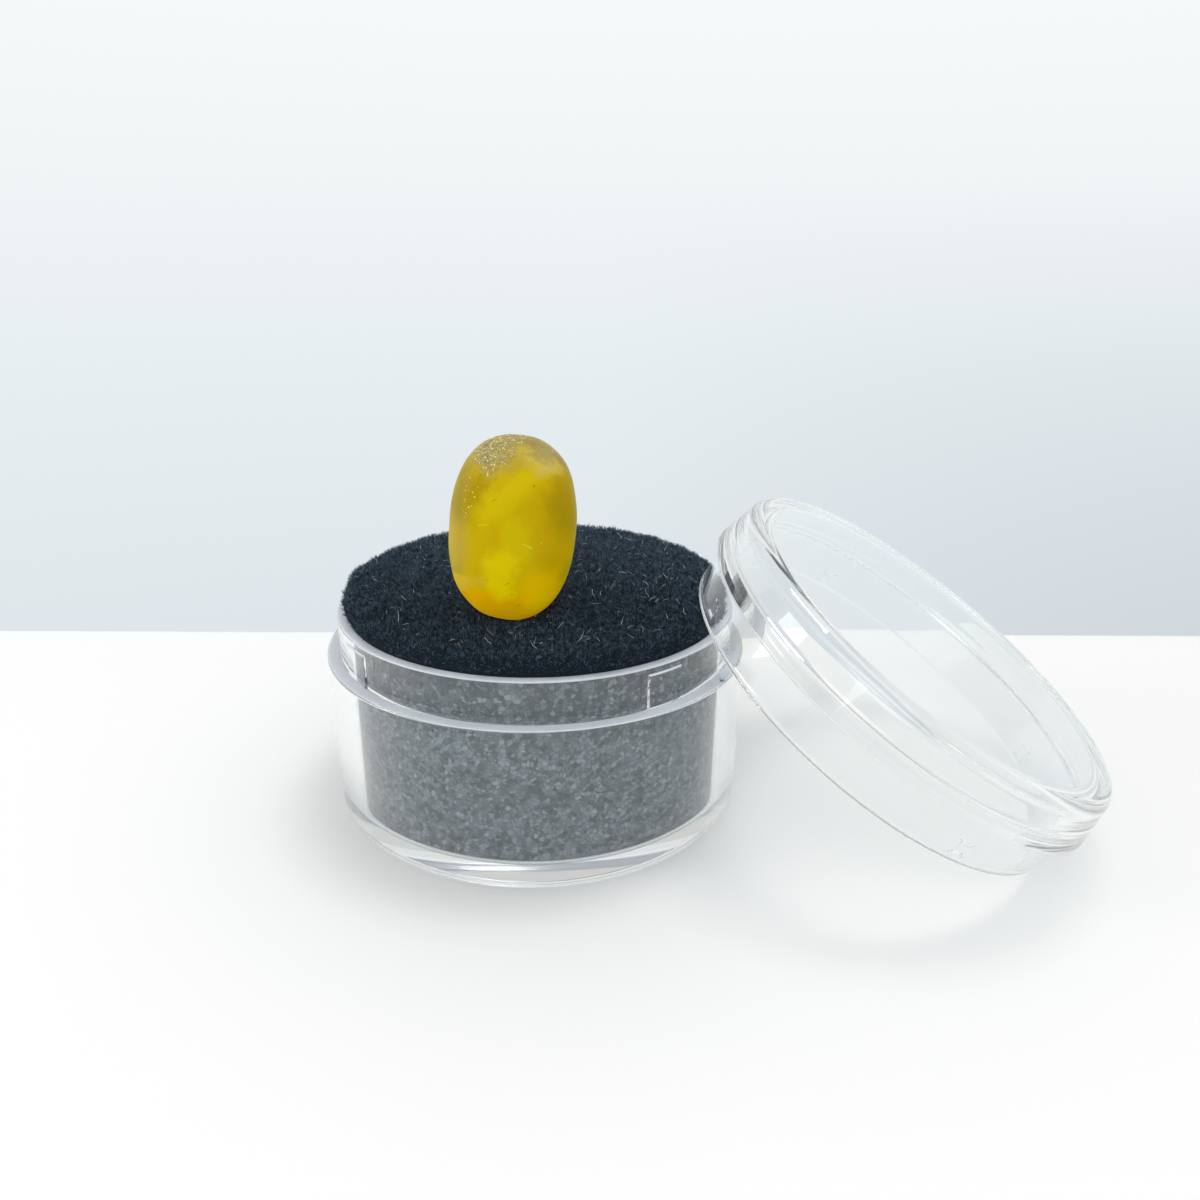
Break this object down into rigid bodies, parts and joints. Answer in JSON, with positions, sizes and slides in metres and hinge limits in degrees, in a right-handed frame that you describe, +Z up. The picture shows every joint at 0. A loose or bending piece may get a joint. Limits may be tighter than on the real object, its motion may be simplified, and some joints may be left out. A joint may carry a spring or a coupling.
{
  "type": "yellow sapphire pebble in a round display box",
  "caption": "Frosted yellow sapphire pebble standing on a black flocked foam pad in a clear round box, with the clear lid leaning against it.",
  "frame": {"origin": "centre of the box's round underside, on the surface it stands on", "axes": "+Z up along the box's axis; +X roughly towards the leaning lid; -Y towards the side of the pad where the stone stands"},
  "size_m": [0.0587, 0.0365, 0.0294],
  "materials": {
    "sapphire": "frosted, translucent yellow, water-worn",
    "flock": "short black flocked pile",
    "foam": "grey open-cell foam",
    "clear_plastic": "clear moulded polystyrene, glossy"
  },
  "bodies": {
    "root": {"sapphire_crystal": "sapphire", "flocked_pad": "flock", "foam_insert": "foam", "box_base": "clear_plastic", "box_lid": "clear_plastic"}
  },
  "joints": []
}
